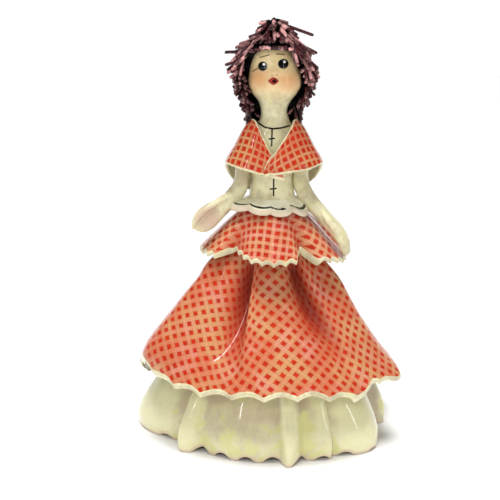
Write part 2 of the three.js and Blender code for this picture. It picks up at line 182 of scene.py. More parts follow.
def piece(name, grid, ring=True, marks=None, check=None):
    """A piece from rows of points. Columns close up; rows close up as well when `ring` is true, or
    end in flat caps."""
    rows, columns = grid.shape[:2]
    r = np.arange(rows if ring else rows - 1)[:, None] * columns
    below = (r + columns) % (rows * columns)
    c = np.arange(columns)[None, :]
    beside = (c + 1) % columns
    faces = np.stack([r + c, below + c, below + beside, r + beside], axis=-1).reshape(-1, 4).tolist()
    if not ring:
        faces += [list(range(columns)), list(range(rows * columns))[: -columns - 1 : -1]]
    made = add_mesh(name, grid, faces, marks)
    if check is not None:
        corners = np.zeros((len(made.data.loops), 2))
        corners[: check.size // 2] = check.reshape(-1, 2)
        made.data.uv_layers.new(name="check").data.foreach_set("uv", corners.ravel())
    return made


def settle(made, glaze):
    """Gives a finished piece its glaze and its place in the frame."""
    made.data.materials.clear()
    made.data.materials.append(glaze)
    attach(made, "root")
    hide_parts(FIGURINE)
    print(f"{made.name}: {len(made.data.polygons)} faces, glazed with {glaze.name}")


# %% [markdown]
# ## A slab with a cut edge
#
# A skirt of clay is a slab of even thickness. It shows its thickness at the hem, where the knife
# left a pale rounded edge. A solidify modifier would offset the face evenly, but this edge leans: it
# faces the viewer nearly square on. So the lining is laid inwards and downwards at a chosen lean,
# and half a turn of rows rounds the edge between face and lining.

# %% Rows of a slab
EDGE_BULGE = 0.35
EDGE_MARK, LINING_MARK = -0.3, -3.0


def rounded(start, end, out, turn):
    """Points from `start` to `end` by way of half a turn that bulges `out` between them."""
    return (start + end) / 2 + (start - end) / 2 * np.cos(turn) + out * np.sin(turn)


def slab(shape, angles, face_rows, lining_rows, wall, lean, edge_rows=9):
    """Rows down a slab's face, round its cut edge and up its lining, and each point's distance from
    the hem, negative past the face. `shape` takes an angle and how far down a point is, from 0 at
    the top to 1 at the hem. Rows of face and lining are (upper end, count)."""
    angle = np.asarray(angles)[None, :]
    tilt = math.radians(lean)
    inward = around(-math.cos(tilt), angle, -math.sin(tilt))

    def lining(down):
        aside = shape(angle + 0.5, down) - shape(angle - 0.5, down)
        along = shape(angle, down + 0.01) - shape(angle, down - 0.01)
        facing = np.abs((unit(np.cross(aside, along)) * inward).sum(-1, keepdims=True))
        return shape(angle, down) + inward * wall / np.maximum(facing, 0.5)

    length = np.linalg.norm(shape(angle, 1.0) - shape(angle, 0.0), axis=-1)
    hem = 1 - EDGE_BULGE * wall / length
    # the powers crowd the rows together towards the hem
    face_t = face_rows[0] + (hem - face_rows[0]) * np.linspace(0, 1, face_rows[1])[:, None] ** 0.85
    lining_t = hem + (lining_rows[0] - hem) * np.linspace(0, 1, lining_rows[1])[:, None] ** 1.3
    outer, inner = shape(angle, face_t), lining(lining_t)
    out = unit(shape(angle, hem) - shape(angle, hem - 0.03))[0] * (EDGE_BULGE * wall)
    turn = np.linspace(0, math.pi, edge_rows + 2)[1:-1, None, None]
    edge = rounded(outer[-1], inner[0], out, turn)
    marks = [np.full(part.shape[:2], m) for part, m in ((edge, EDGE_MARK), (inner, LINING_MARK))]
    return np.concatenate([outer, edge, inner]), np.concatenate([(hem - face_t) * length, *marks])


print("a cut edge bulges by", EDGE_BULGE, "of the wall")

# %% [markdown]
#
# The check was on the slab before the slab was bent, so its squares stay nearly square and run on
# across the clay, whatever the fold does. That is a cone's flat development: distance from the tip
# stays, and the turn is the true length round the slab, folds included, over that distance. Clay was
# gathered in the folds, so each panel between two of them has its own middle line. Neighbouring
# panels agree at the hem and blend into each other inside the fold above it, where the squares
# crowd together.

# %% Where each point lies on the flat slab
FOLD_BAND = 13


def lay_check(points, places, panels, pitch, tip, sense=1, band=FOLD_BAND):
    """Check coordinates of a slab's points. `places` are the columns' angles, `tip` is the height
    of the cone's tip. A panel is (start, middle, turn of the check, stretch)."""
    steps = np.linalg.norm(np.diff(points, axis=1), axis=-1)
    run = np.concatenate([np.zeros((len(points), 1)), np.cumsum(steps, axis=1)], axis=1)
    slant = np.linalg.norm(points - [0, 0, tip], axis=-1)
    check = None
    for start, middle, turned, wide in panels:
        line = np.array([[np.interp(middle, places, row)] for row in run])
        swing, spin = sense * (run - line) / slant, math.radians(turned)
        x, y = slant * np.sin(swing) / wide, -slant * np.cos(swing) * wide
        across = x * math.cos(spin) + y * math.sin(spin)
        here = np.stack([across, y * math.cos(spin) - x * math.sin(spin)], axis=-1) / pitch
        if check is None:
            check = here
            continue
        seam = np.searchsorted(places, start)
        here += check[-1, seam] - here[-1, seam]
        share = smooth((places - start + band) / (2 * band))
        check += (here - check) * share[None, :, None]
    return check


def per_corner(check):
    """The check at the four corners of every quad, from its value at the points."""
    return np.stack([check[:-1, :-1], check[1:, :-1], check[1:, 1:], check[:-1, 1:]], axis=2)


def check_of_slab(grid, face_count, angles, *rest):
    """`rest` goes to lay_check."""
    face = np.concatenate([grid[:face_count], grid[:face_count, :1]], axis=1)
    return per_corner(lay_check(face, np.append(angles, angles[0] + 360), *rest))


print("panels share", 2 * FOLD_BAND, "degrees of a fold")

# %% [markdown]
# ## Petticoat
#
# The lowest tier is a plain cream slab pinched into deep ruffles. It stands on the points of its
# hem, and between them the hem arches clear of the table. The ruffles are deepest at the hem and die
# out two thirds of the way up, so their depth hangs on the height alone.

# %% Shape the petticoat
# ruffles are (angle, left, right, size); the valleys between them are [height, radius]
RUFFLES = [
    (-80, 20, 42, 1.75), (-44, 7, 15, 1.2), (-15, 60, 60, 0.6), (7, 6, 13, 1.08),
    (27, 24, 7, 0.82), (48, 32, 26, 1.36), (80, 10, 15, 0.7), (119, 18, 14, 1.1),
    (150, 13, 20, 1), (186, 18, 12, 1.1), (211, 12, 20, 1), (246, 15, 13, 1),
]
PETTICOAT_VALLEY = [
    [0, 78], [12, 79], [30, 74], [50, 66], [83, 47], [100, 35], [120, 24], [137, 17],
]
PETTICOAT_TOP = 137
RUFFLE_DEPTH, RUFFLE_HEIGHT = 14, 92


def petticoat_shape(angle, down):
    ridge = strongest(RUFFLES, angle)
    hem = np.maximum(6.5 * arch(angle, 30, 6) + 3 * (1 - ridge) - 4, 0)
    z = PETTICOAT_TOP + (hem - PETTICOAT_TOP) * down
    flare = RUFFLE_DEPTH * (1 - smooth(z / RUFFLE_HEIGHT)) * ridge
    return around(curve(PETTICOAT_VALLEY, z) + flare, angle, z)


angles = full_turn(640)
grid, rim = slab(petticoat_shape, angles, (0.0, 66), (0.02, 22), wall=3.8, lean=0)
petticoat = piece("petticoat", grid, marks={"rim": rim, "crest": strongest(RUFFLES, angles)})
print("petticoat:", grid.shape, "points, lowest at", round(grid[..., 2].min(), 2))

# %% [markdown]
# ## Skirt
#
# The big checked skirt is a cone of clay with a few deep folds. They start under the peplum, drift
# to the viewer's right on the way down and have nearly opened out at the hem, which is trimmed in
# shallow scallops and hangs lower at both sides. The fold marks darken the glaze in the valleys,
# for glaze that pooled there and as painted shade.

# %% Shape the skirt
SKIRT_TOP, SKIRT_HEM = 150, 48
SKIRT_WAIST, SKIRT_SPREAD, SKIRT_TWIST = 24, 74, 9
SCALLOPS, FIRST_SCALLOP, SCALLOP_RISE = 26, -3.5, 3
CREASE_DEPTH = 15
SKIRT_CREASES = [
    (-27, 26, 6.5, 0.95), (31, 28, 6, 1), (76, 12, 12, 0.85), (112, 22, 12, 0.8),
    (154, 12, 30, 0.9), (204, 30, 12, 0.8), (246, 14, 26, 0.8),
]
SKIRT_DIPS = [
    (-100, 44, 26, 20), (-34, 20, 30, 2), (41, 30, 9, 6), (62, 11, 8, 5), (105, 40, 38, 8),
]
SKIRT_CORNERS = [(-67, 14, 16, 7), (78, 13, 22, 7)]
WINGS = [(-66, 52, 38), (66, 36, 22), (100, 34, 50)]
WING_REACH = [
    [40, 2, 5, -7], [52, 8, 6, -9], [62, 15, 3.5, -12], [71, 17.5, 3, -13], [90, 15.5, 4, -12],
    [103, 14, 6, -9], [115, 12, 7.5, -6], [127, 12, 5, -4], [138, 4, 1, 0], [145, 0, 0, 0],
]
SKIRT_PANELS = [
    (-156, -135, -40, 1), (-114, -68, -44, 1.11), (-27, 1.5, -46, 1.07), (31, 46, -53, 1.02),
    (76, 94, -40, 1), (112, 133, -25, 1), (154, 179, -35, 1),
]


def skirt_fold(fallen, angle):
    """How deep the skirt's folds are: 0 on a crest, 1 at the deepest point of a valley."""
    depth = smooth(fallen / 0.36) * (1 - 0.85 * smooth((fallen - 0.45) / 0.5))
    return depth * strongest(SKIRT_CREASES, angle)


def skirt_shape(angle, down):
    turned = angle + SKIRT_TWIST * down
    scalloped = SKIRT_HEM + SCALLOP_RISE * (1 + arch(turned, SCALLOPS, FIRST_SCALLOP))
    hem = scalloped - strongest(SKIRT_DIPS, turned) + strongest(SKIRT_CORNERS, turned)
    z = SKIRT_TOP + (hem - SKIRT_TOP) * down
    fallen = (SKIRT_TOP - z) / (SKIRT_TOP - SKIRT_HEM)
    cone = np.where(fallen < 1, np.maximum(fallen, 0) ** 1.09, 1.3 - 0.3 * fallen)
    full = SKIRT_WAIST + SKIRT_SPREAD * cone
    reach = curve(WING_REACH, z)
    for k, (at, left, right) in enumerate(WINGS):
        full = full + reach[..., k] * wing(centred(turned - at), left, right)
    return around(full - CREASE_DEPTH * skirt_fold(fallen, angle), turned, z)


angles = full_turn(640, -156)
SKIRT_FACE = 90
grid, rim = slab(skirt_shape, angles, (0.02, SKIRT_FACE), (0.04, 24), wall=3.4, lean=62)
fallen = (SKIRT_TOP - grid[..., 2]) / (SKIRT_TOP - SKIRT_HEM)
marks = {"rim": rim, "fold": skirt_fold(fallen, angles)}
check = check_of_slab(grid, SKIRT_FACE, angles, SKIRT_PANELS, 6.8, 183)
skirt = piece("skirt", grid, marks=marks, check=check)
print("skirt:", grid.shape, "points, widest at", round(np.abs(grid[..., 0]).max(), 1))

# %% [markdown]
# ## Peplum
#
# A short second tier flares out from the waist in round folds, three of them across the front.

# %% Shape the peplum
PEPLUM_TOP, PEPLUM_HEM = 167, 134.5
PEPLUM_WAIST, PEPLUM_SPREAD = 18, 35
PEPLUM_CREASES = [
    (-43, 10, 32, 1), (31, 13, 7, 1.1), (84, 16, 14, 0.5),
    (138, 20, 16, 0.8), (196, 16, 20, 0.8), (250, 18, 16, 0.7),
]
PEPLUM_LOBES = [(-75, 34, 28, 2), (3, 18, 16, 5), (40, 5, 36, 5), (90, 40, 40, 1.5)]
PEPLUM_DIPS = [(72, 36, 50, 5)]


def peplum_cone(fallen):
    return PEPLUM_WAIST + PEPLUM_SPREAD * fallen**0.92


def peplum_shape(angle, down):
    crease = strongest(PEPLUM_CREASES, angle)
    hem = PEPLUM_HEM + 1.8 * arch(angle, 40, 1) + 4 * crease - strongest(PEPLUM_DIPS, angle)
    z = PEPLUM_TOP + (hem - PEPLUM_TOP) * down
    fallen = np.maximum((PEPLUM_TOP - z) / (PEPLUM_TOP - PEPLUM_HEM), 0)
    full = peplum_cone(fallen) + strongest(PEPLUM_LOBES, angle) * np.sqrt(fallen)
    return around(full - 8 * smooth(fallen) * crease, angle, z)


angles = full_turn(520, -180)
PEPLUM_FACE = 52
grid, rim = slab(peplum_shape, angles, (0.05, PEPLUM_FACE), (0.05, 12), wall=2.8, lean=68)
fallen = np.clip((PEPLUM_TOP - grid[..., 2]) / (PEPLUM_TOP - PEPLUM_HEM), 0, 1)
marks = {"rim": rim, "fold": 0.8 * fallen * strongest(PEPLUM_CREASES, angles)}
plain = around(peplum_cone(fallen), angles, grid[..., 2])
check = check_of_slab(plain, PEPLUM_FACE, angles, [(-180, 0, -7, 1)], 6.3, 186)
peplum = piece("peplum", grid, marks=marks, check=check)
print("peplum:", grid.shape, "points")

# %% [markdown]
# ## Waist frill
#
# A thick round collar of clay hides the joint between torso and skirts. Its rim droops in round
# lobes and is rolled over, so it shows a soft edge as thick as the collar itself.

# %% Shape the waist frill
FRILL_TOP, FRILL_THICK, FRILL_LOBES = 173, 4, 10
FRILL_SPREAD = [(-66, 30, 40, 5), (50, 22, 34, 2.2)]
FRILL_DROOP = [(10, 60, 60, 2.5), (50, 24, 30, 3.8)]
ROLL_START, ROLL_REACH = 0.93, 0.07


def frill_row(reach, angle, drop):
    """Points of the frill: `reach` is 0 near the body and 1 at the rim."""
    lobe = np.sqrt(arch(angle, FRILL_LOBES, -3) + 0.02)
    radius = 14 + (12 + 3 * lobe + strongest(FRILL_SPREAD, angle)) * reach
    droop = 3 + 2 * lobe + strongest(FRILL_DROOP, angle)
    return around(radius, angle, FRILL_TOP - drop - droop * np.abs(reach) ** 1.5)


angle = full_turn(400)[None, :]
reach = np.linspace(0.1, ROLL_START, 26)[:, None]
roll = np.radians(np.linspace(-90, 90, 13)[1:-1, None])
top, under = frill_row(reach, angle, 0), frill_row(reach[::-1], angle, FRILL_THICK)
drop = FRILL_THICK / 2 * (1 + np.sin(roll))
edge = frill_row(ROLL_START + ROLL_REACH * np.cos(roll), angle, drop)
rim = np.concatenate([(1 - reach) * 13, np.full_like(roll, -1.0), np.full_like(reach, -3.0)])
waist_frill = piece("waist_frill", np.concatenate([top, edge, under]), marks={"rim": rim})
print("waist frill:", FRILL_LOBES, "lobes")

# %% [markdown]
# ## Body, neck and head
#
# Torso, neck and head are one stretched form: a column that swells into an upside-down pear for the
# face, tipped back and leaning a little. A lathe would make it round and straight, so each level
# has its own width, depth and middle. The doll's small features are pushed out of that form by
# soft bumps: a button nose, pursed lips round an open mouth, and round eyes in shallow sockets.

# %% Shape the body
# [height, half-width, half-depth, how far to the right, how far back]
BODY = [
    [131, 20, 20, 0, 0], [148, 25, 25, 0, 0], [160, 21.5, 21, 0, 0], [172, 17.6, 16.4, 0, 0],
    [181, 15.8, 14.2, 0, 0], [194, 15.4, 13.4, 0, 0], [208, 18, 14.5, 0, 0],
    [218, 18.5, 13.5, 0.5, 0], [224, 14.2, 12, 1, 0], [229, 11, 10.6, 1.4, 0],
    [236, 9.6, 9.8, 1.1, -0.5], [242, 11.8, 11.6, 1.3, -1.6], [247.5, 15.9, 15.2, 1.4, -2.2],
    [253, 18.8, 17.8, 1.5, -1.8], [260, 18.8, 18.4, 1.3, -1], [267, 17.2, 18, 0.9, 0],
    [275, 14.8, 17, 0.3, 1], [284, 11, 13, 0, 2], [290, 5, 6, 0, 2],
]
LEFT_EYE, RIGHT_EYE = (-7.2, 267.3), (7.2, 269.0)
NOSE, MOUTH = (0.9, 263.0), (0.3, 257.4)
# (how far out, centre, half-width, half-height)
FEATURES = [
    (2.9, NOSE, 2.7, 2.3), (0.7, (0.8, 266.5), 2.2, 3.4),
    (1.1, MOUTH, 3.4, 2.7), (-2.3, (0.9, 257.4), 1.25, 1.1),
    (0.9, (-10.5, 257), 6, 5), (0.9, (11.5, 256), 6, 5),
    (0.75, LEFT_EYE, 2.3, 2.3), (-0.8, LEFT_EYE, 5.2, 4.6),
    (0.75, RIGHT_EYE, 2.3, 2.3), (-0.8, RIGHT_EYE, 5.2, 4.6), (-0.5, (0.8, 250.4), 5, 2),
]


def bump(x, z, centre, wide, tall):
    """A soft round bump about a point of the front."""
    return np.exp(-(((x - centre[0]) / wide) ** 2) - ((z - centre[1]) / tall) ** 2)


z = np.concatenate([np.linspace(290, 240, 118), np.linspace(239, 131, 64)])[:, None]
wide, deep, right, back = np.moveaxis(curve(BODY, z[:, 0])[:, None, :], -1, 0)
circle = around(1.0, full_turn(240), 0.0)[None]
x, y = right + circle[..., 0] * wide, back + circle[..., 1] * deep
front = smooth(-circle[..., 1] * 2)
push = front * sum(out * bump(x, z, *feature) for out, *feature in FEATURES)
body_grid = np.stack(np.broadcast_arrays(x, y - push, z), axis=-1)
body = piece("torso_and_head", body_grid, ring=False)
print(f"body: {body_grid.shape} points; nose {push.max():.1f} mm out, mouth {-push.min():.1f} mm in")

# %% [markdown]
# ## Arms and hands
#
# The arms are rolled coils, flattened at the end into mitten hands. A coil is a chain of ovals along
# a bent line. The thumb and the fold of the palm are coils of their own, pressed into the first one:
# a voxel remesh melts them together as wet clay would, which a boolean wouldn't do.

# %% Roll and join coils
def coil(stations, facing, sides=28, rings=70, tip=3):
    """Points of a coil through [x, y, z, half-width, half-depth]; its width lies across `facing`."""
    table = np.asarray(stations, float)
    travel = np.append(0, np.cumsum(np.linalg.norm(np.diff(table[:, :3], axis=0), axis=1)))
    at = np.linspace(0, travel[-1], rings)
    row = curve(np.column_stack([travel, table]), at)
    way = unit(np.gradient(row[:, :3], axis=0))
    side = unit(np.cross(way, facing))
    front = np.cross(side, way)
    taper = np.sqrt(np.clip(1 - ((at - travel[-1]) / tip + 1).clip(0) ** 2, 0.02, 1))
    turn = np.linspace(0, 2 * math.pi, sides, endpoint=False)[None, :, None]
    wide, deep = np.moveaxis(row[:, 3:5] * taper[:, None], -1, 0)[..., None, None]
    across, over = side[:, None] * wide * np.cos(turn), front[:, None] * deep * np.sin(turn)
    return row[:, None, :3] + across + over


def melt(name, coils, grain=0.55, softening=7):
    """Joins coils into one smooth skin of clay."""
    parts = [piece(f"{name}_{i}", grid, ring=False) for i, grid in enumerate(coils)]
    with bpy.context.temp_override(active_object=parts[0], selected_editable_objects=parts):
        bpy.ops.object.join()
    whole = parts[0]
    remesh = whole.modifiers.new("melt", "REMESH")
    remesh.mode, remesh.voxel_size, remesh.use_smooth_shade = "VOXEL", grain * MM, True
    soften = whole.modifiers.new("soften", "SMOOTH")
    soften.factor, soften.iterations = 0.5, softening
    bpy.context.view_layer.update()
    melted = whole.evaluated_get(bpy.context.evaluated_depsgraph_get())
    mesh = bpy.data.meshes.new_from_object(melted)
    bpy.data.objects.remove(whole)
    mesh.name = name
    return add_object(name, mesh)


# %% Shape the arms
# [right, back, height, half-width, half-depth]
LEFT_ARM = [
    [-13, 0, 220, 5, 6], [-19.5, 0, 209, 5.8, 6], [-21.4, 0, 195, 5.6, 5.8],
    [-22.6, -2.5, 183, 5.8, 6], [-26.6, -5, 175.5, 6.3, 6], [-35, -10.5, 167.6, 6.2, 5],
    [-43, -14.5, 162.5, 8.2, 4.2], [-48.7, -17, 158, 8.8, 3.8], [-53, -18.5, 153.6, 6.8, 3.2],
    [-55.4, -19.5, 150.4, 3.6, 2.4],
]
LEFT_THUMB = [
    [-30, -9.5, 176, 2.4, 2.4], [-38, -14.5, 171.6, 2.6, 2.2], [-46, -18.6, 167, 2.4, 2],
    [-52.5, -20.6, 161.5, 2.2, 1.9], [-56.4, -21, 155.5, 1.8, 1.7], [-57, -20.8, 151.5, 1.5, 1.5],
]
RIGHT_ARM = [
    [13, 0, 220, 5, 6], [19, 0, 209, 5.8, 6], [20.8, 0, 195, 5.6, 6], [21.2, -2.5, 183, 5.9, 6],
    [26.2, -6.5, 172.6, 6.2, 6], [34.4, -12, 163.4, 6, 5.4], [40.6, -16.5, 157.2, 6.4, 5],
    [46.4, -20.5, 151.6, 7, 4.2], [51, -24, 144.6, 6.6, 3.6], [53, -26.5, 137.4, 4.6, 3],
    [53.4, -27.2, 133.6, 2.6, 2],
]
RIGHT_THUMB = [
    [36, -16, 164, 2.6, 2.6], [41.5, -21.2, 157.6, 4.2, 2.8], [46, -24.6, 152.6, 4.6, 2.6],
    [49, -26.6, 149.2, 3.8, 2.2],
]
RIGHT_PALM = (0.75, -0.6, 0.3)
arms = [
    melt("left_arm", [coil(LEFT_ARM, (-0.25, -1, 0.1)), coil(LEFT_THUMB, (-0.2, -1, 0.3))]),
    melt("right_arm", [coil(RIGHT_ARM, RIGHT_PALM), coil(RIGHT_THUMB, RIGHT_PALM)]),
]
print("arms:", [len(arm.data.polygons) for arm in arms], "faces")

# %% [markdown]
# ## Shawl
#
# The shawl is a strip of the same checked slab, cut to a point at both ends. It starts under the
# overlap in front, goes round the back, where it falls lowest, and ends on top of its own start. So
# it isn't a closed ring but a ribbon, and its grid runs along the way round: one ring of points at
# each turn, over the face, round both cut edges and back along the lining.

# %% Shape the shawl
# widths are [height, half-width]; neck and hem are [angle past the front, height]
SHAWL_WIDTH = [
    [160, 41], [182, 39.5], [196, 36.9], [203, 33.8], [210, 29.4], [217.5, 25.5], [224, 21.7],
    [229, 17.4], [233, 12.6],
]
SHAWL_NECK = [
    [-9, 190], [-5.3, 197], [-3.5, 201], [-0.7, 205.3], [2, 208.5], [5, 212], [11, 217], [26, 225],
    [50, 229.5], [95, 230], [180, 230],
]
SHAWL_HEM = [[-9, 189], [0, 191], [31, 195.6], [75, 198.5], [100, 195], [134, 181], [180, 166]]
SHAWL_WALL, SHAWL_FACE = 2.6, 44
SHAWL_START, SHAWL_END = 9, -365.3
SHAWL_PANELS = [(-9, 35, 0, 1), (180, 325, 4, 1)]


def shawl_shape(turn, down):
    """Points of the shawl's face: `turn` runs the way it lies, `down` is 1 at the hem."""
    over = smooth((-turn - 300) / 40)
    side = np.where(turn < -180, 360 + turn, -turn)
    hem = curve(SHAWL_HEM, side) + 2 * over * hump(side, 20, 40)
    neck = np.maximum(curve(SHAWL_NECK, side), hem + 0.8)
    z = neck + (hem - neck) * down
    x, y, z = np.moveaxis(around(1.0, turn, z), -1, 0)
    wide = curve(SHAWL_WIDTH, z) + 2.9 * over + 1.4 * np.sign(x)
    squared_y = np.sign(y) * np.abs(y) ** np.where(y < 0, 0.6, 0.8)
    return np.stack([wide * np.sign(x) * np.abs(x) ** 0.8, 0.73 * wide * squared_y, z], axis=-1)


turn = np.linspace(SHAWL_START, SHAWL_END, 400)[:, None]
down = np.linspace(0.02, 0.98, SHAWL_FACE)[None, :]
face = shawl_shape(turn, down)
lining = shawl_shape(turn, down[:, ::-2]) + around(-SHAWL_WALL, turn, -0.6)
roll = np.linspace(0, math.pi, 7)[None, 1:-1, None]
out = unit(face[:, -1:] - face[:, -3:-2]) * 0.9
hem_edge = rounded(face[:, -1:], lining[:, :1], out, roll)
neck_edge = rounded(lining[:, -1:], face[:, :1], -out, roll)
grid = np.concatenate([face, hem_edge, lining, neck_edge], axis=1)
rim = np.full(grid.shape[:2], -1.0)
rim[:, :SHAWL_FACE] = np.minimum(down, 1 - down) * np.linalg.norm(face[:, -1:] - face[:, :1], axis=-1)
laid = lay_check(face.transpose(1, 0, 2), -turn[:, 0], SHAWL_PANELS, 5.3, 246, sense=-1, band=80)
check = np.zeros((len(turn) - 1, grid.shape[1], 4, 2))
check[:, : SHAWL_FACE - 1] = per_corner(laid.transpose(1, 0, 2))
shawl = piece("shawl", grid, ring=False, marks={"rim": rim}, check=check)
print("shawl:", grid.shape, "points")

# %% [markdown]
# ## Hair cap
#
# The hair starts as a cap of clay, open in front of the face and glazed black. Its edge hugs the
# face and the neck down to the shawl, and that black line is what the strands are set against.

# %% Shape the hair cap
FACE_TOP, CAP_DEPTH = 278, 14.0
# the cap is [height, half-width, half-depth], its edge [height, angle on either side of the face]
CAP = [
    [226, 16, 15], [236, 16.5, 18], [247, 21.5, 22.5], [258, 24.5, 25], [268, 24.5, 25],
    [277, 21.5, 22.5], [280, 20, 21], [288, 13, 15], [294, 7, 8], [297, 2, 2],
]
FACE_EDGE = [
    [226, 112], [231, 96], [236, 72], [247, 74], [258, 74], [268, 70], [276, 56], [279, 30],
    [280, 10],
]


def cap_point(angle, z, out=0.0):
    """Points of the cap's skin, or `out` millimetres off it."""
    size = curve(CAP, z) + np.asarray(out)[..., None]
    a = np.radians(angle)
    x, y = 1 + size[..., 0] * np.sin(a), 2 - size[..., 1] * np.cos(a)
    return np.stack(np.broadcast_arrays(x, y, z), axis=-1)


z = np.linspace(297, 226, 110)[:, None]
edge = curve(FACE_EDGE, z[:, 0])[:, None]
side = np.linspace(0, 1, 150)[None, :]
skin = cap_point(edge + (360 - 2 * edge) * side, z)
sunk = -CAP_DEPTH * smooth((FACE_TOP + 1.5 - z) / 3)
inside = cap_point(edge * np.linspace(-0.93, 0.93, 24)[None, :], z, sunk)
hair_cap = piece("hair_cap", np.concatenate([skin, inside], axis=1), ring=False)
print("hair cap:", len(hair_cap.data.polygons), "faces")

# %% [markdown]
# ## Hair strands
#
# Clay was pressed through a sieve and the short strands were stuck on one by one. Particles or
# instances would be lost in the export, so every strand is real geometry: a bent, rounded strip with
# its root in the cap. Rows of them go round the cap, wider apart on the crown, and a style table
# says how the strands of each height lie: flat and combed to the left on the crown, standing out
# and turned to the viewer at the sides. A row of short ones lies across the forehead. A seeded
# generator sets their unrest, so each run is the same.

# %% Place the strands
rng = np.random.default_rng(11)
# [height, how much a strand falls, stands out and turns to the front, its length]
STYLE = [
    [227, 1.0, 0.35, 0.1, 9], [236, 0.85, 0.5, 0.25, 8.5], [246, 0.55, 0.65, 0.5, 8],
    [262, 0.55, 0.55, 0.45, 9], [272, 0.75, 0.34, 0.15, 12.5], [282, 0.95, 0.22, 0, 14],
    [297, 1.0, 0.22, 0, 13],
]
STRAND_GAP = 2.25


def row_heights():
    """Heights of rows along the cap's outline: close together below, wider apart on the crown."""
    z = np.linspace(296.5, 228, 400)
    size = curve(CAP, z)[:, 0]
    gap = STRAND_GAP * (1 + 0.6 * smooth((z[1:] - 262) / 10))
    rows = np.append(0, np.cumsum(np.hypot(np.diff(z), np.diff(size)) / gap))
    return np.interp(np.arange(int(rows[-1])), rows, z)


def face_edge(z):
    """The angle at which the cap begins beside the face."""
    return curve(FACE_EDGE, np.minimum(z, FACE_TOP + 1))


def cap_spots():
    """Angle and height of every strand's root."""
    spots = []
    for z in row_heights():
        count = max(int(2 * math.pi * curve(CAP, z)[0] / STRAND_GAP), 5)
        step = np.arange(count) + rng.uniform(-0.35, 0.35, count) + rng.uniform(0, 1)
        spots.append(np.stack([centred(step * 360 / count), z + rng.uniform(-1, 1, count)]))
    angle, z = np.concatenate(spots, axis=1)
    beside_face = np.abs(angle) > face_edge(z) + np.where(angle < 0, 0.5, 2)
    keep = (z < 297.5) & (beside_face | (z > FACE_TOP + 5))
    return angle[keep], z[keep]


angle, height = cap_spots()
falling, standing, turned, length = np.moveaxis(curve(STYLE, height), -1, 0)
sideways = np.sin(np.radians(angle))
left, right = np.clip(-sideways, 0, 1), np.clip(sideways, 0, 1)
crown, top = smooth((height - 266) / 12), smooth((height - 278) / 12)
locks = right * hump(height - 256, 22, 18)
brink = (1 - smooth((np.abs(angle) - face_edge(height)) / 14)) * (1 - crown)
falling = (falling + 0.25 * right - 0.2 * left * crown) * (1 - 0.5 * brink)
standing = (standing + 0.04 * left * crown) * (1 - 0.75 * brink)
turned = turned - 0.45 * left * crown - 0.2 * locks + 0.6 * brink
length = length * (1 + 0.35 * locks - (0.5 * left + 0.25 * right) * top)
root = cap_point(angle, height, -0.6)
root[:, 2] += 2.2 * smooth((height - 289) / 6)
fall = unit(cap_point(angle, height - 1.5) - cap_point(angle, height))
aside = unit(cap_point(angle + 2, height) - cap_point(angle, height))
outward = unit(np.cross(fall, aside))
parts = np.stack([falling, standing, -sideways * turned])
parts += rng.normal(0, 0.2, (len(angle), 3)).T
way = unit(sum(part[:, None] * along for part, along in zip(parts, (fall, outward, aside))))
length = length * rng.uniform(0.75, 1.2, len(angle))
# strands over the forehead end before they hang into the face, and stubs are left out
room = (height - FACE_TOP - 5) / np.maximum(-way[:, 2], 0.15)
above_face = (angle > -52) & (angle < 36) & (height > FACE_TOP)
length = np.where(above_face, np.minimum(length, room), length)
keep = length > 3
root, way, outward, length = root[keep], way[keep], outward[keep], length[keep]
print("strands on the cap:", len(root))

# %% Add the fringe, the tails on the shoulders and the stray strand
FRINGE, FRINGE_SIDE = 9, 44
TAIL_ANGLES, PER_TAIL = [-104.0, -88, -74, 74, 90, 106], 3
TAILS = len(TAIL_ANGLES) * PER_TAIL
FIRST = len(root)
across = np.linspace(-FRINGE_SIDE, FRINGE_SIDE, FRINGE) + rng.uniform(-2, 2, FRINGE)
brow = FACE_TOP + 2.3 - 2.6 * (across / FRINGE_SIDE) ** 2
fringe = cap_point(across - 6, brow, 0.9)
along_brow = unit(cap_point(across + 6, brow + rng.uniform(-1, 1, FRINGE), 0.9) - fringe)
tail_angle = np.repeat(TAIL_ANGLES, PER_TAIL) + rng.uniform(-4, 4, TAILS)
tails = cap_point(tail_angle, rng.uniform(234, 239, TAILS), 0.5)
hanging = around(0.3, tail_angle, -1) + rng.normal(0, 0.08, (TAILS, 3))
root = np.vstack([root, fringe, tails, [[8.0, -3, 295.5]]])
way = np.vstack([way, along_brow, unit(hanging), unit(np.array([[0.9, -0.1, -0.32]]))])
outward = np.vstack([outward, unit(fringe * [1, 1, 0]), around(1, tail_angle, 0), [[0, -1.0, 0.3]]])
length = np.concatenate([length, rng.uniform(3.6, 5.2, FRINGE), rng.uniform(9, 13, TAILS), [22]])

# %% Press the strands
SIDES = 8
ALONG = np.array([0, 0.25, 0.5, 0.75, 0.93, 0.985, 1.0])
THICK = np.array([1, 1, 1, 1, 1, 0.8, 0.35])
side = unit(np.cross(way, outward))
upper = np.cross(side, way)
bend = rng.uniform(-0.16, 0.05, len(root))
size = rng.uniform(0.9, 1.2, len(root))
turn = np.linspace(0, 2 * math.pi, SIDES, endpoint=False) + math.pi / SIDES
squared = 1.16 / (np.abs(np.cos(turn)) ** 3 + np.abs(np.sin(turn)) ** 3) ** (1 / 3)
ring_side = (np.cos(turn) * squared)[:, None] * side[:, None, None]
ring_up = (np.sin(turn) * squared * 0.85)[:, None] * upper[:, None, None]
spine = root[:, None] + way[:, None] * (length[:, None] * ALONG)[..., None]
spine = spine + upper[:, None] * (bend[:, None] * length[:, None] * ALONG**2)[..., None]
profile = (size[:, None] * THICK)[..., None, None]
points = spine[:, :, None] + profile * (ring_side + ring_up)
last = (len(ALONG) - 1) * SIDES
ring, k = np.arange(0, last, SIDES)[:, None], np.arange(SIDES)
beside = (k + 1) % SIDES
